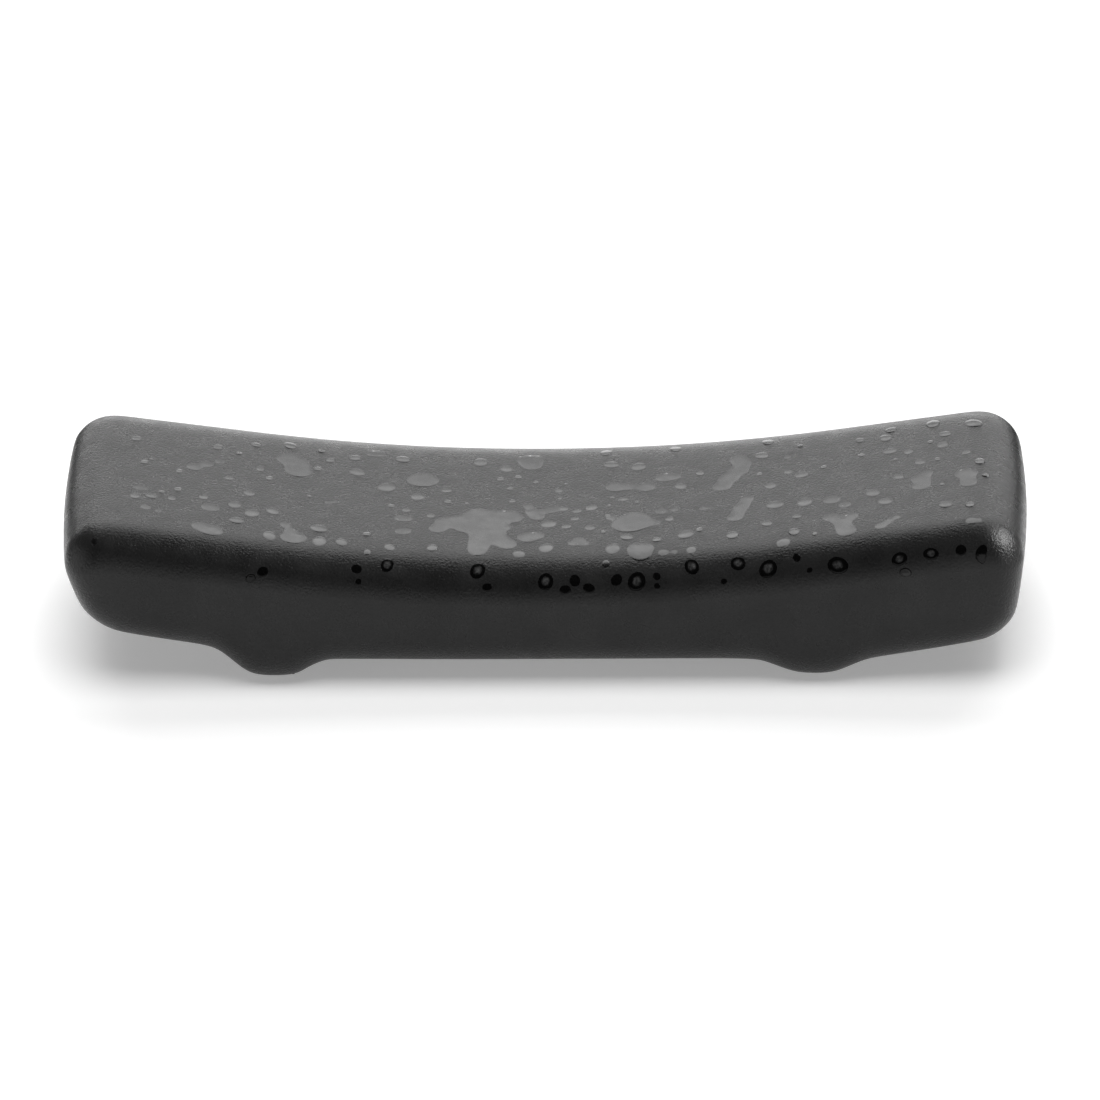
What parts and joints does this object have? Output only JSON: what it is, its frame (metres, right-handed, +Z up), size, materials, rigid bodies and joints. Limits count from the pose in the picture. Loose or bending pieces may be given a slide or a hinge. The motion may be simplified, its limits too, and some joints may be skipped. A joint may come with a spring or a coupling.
{
  "type": "chopstick rest",
  "caption": "Low glazed bar with a gently hollowed top that keeps the tips of chopsticks off the table, standing on a foot ridge near each end.",
  "frame": {"origin": "On the table plane, midway between the two ends and midway from front to back.", "axes": "X runs along the bar, Y runs from the front to the back, Z points up out of the hollow."},
  "size_m": [0.07, 0.0221, 0.0126],
  "materials": {
    "fired_clay": "matte",
    "black_glaze": "satin",
    "drop_glaze": "gloss"
  },
  "bodies": {
    "root": {"clay_body": "fired_clay", "glaze_coat": "black_glaze", "glaze_pools": "drop_glaze", "glaze_runs": "drop_glaze", "top_drops": "drop_glaze", "fine_drops": "drop_glaze", "edge_drops": "drop_glaze"}
  },
  "joints": []
}
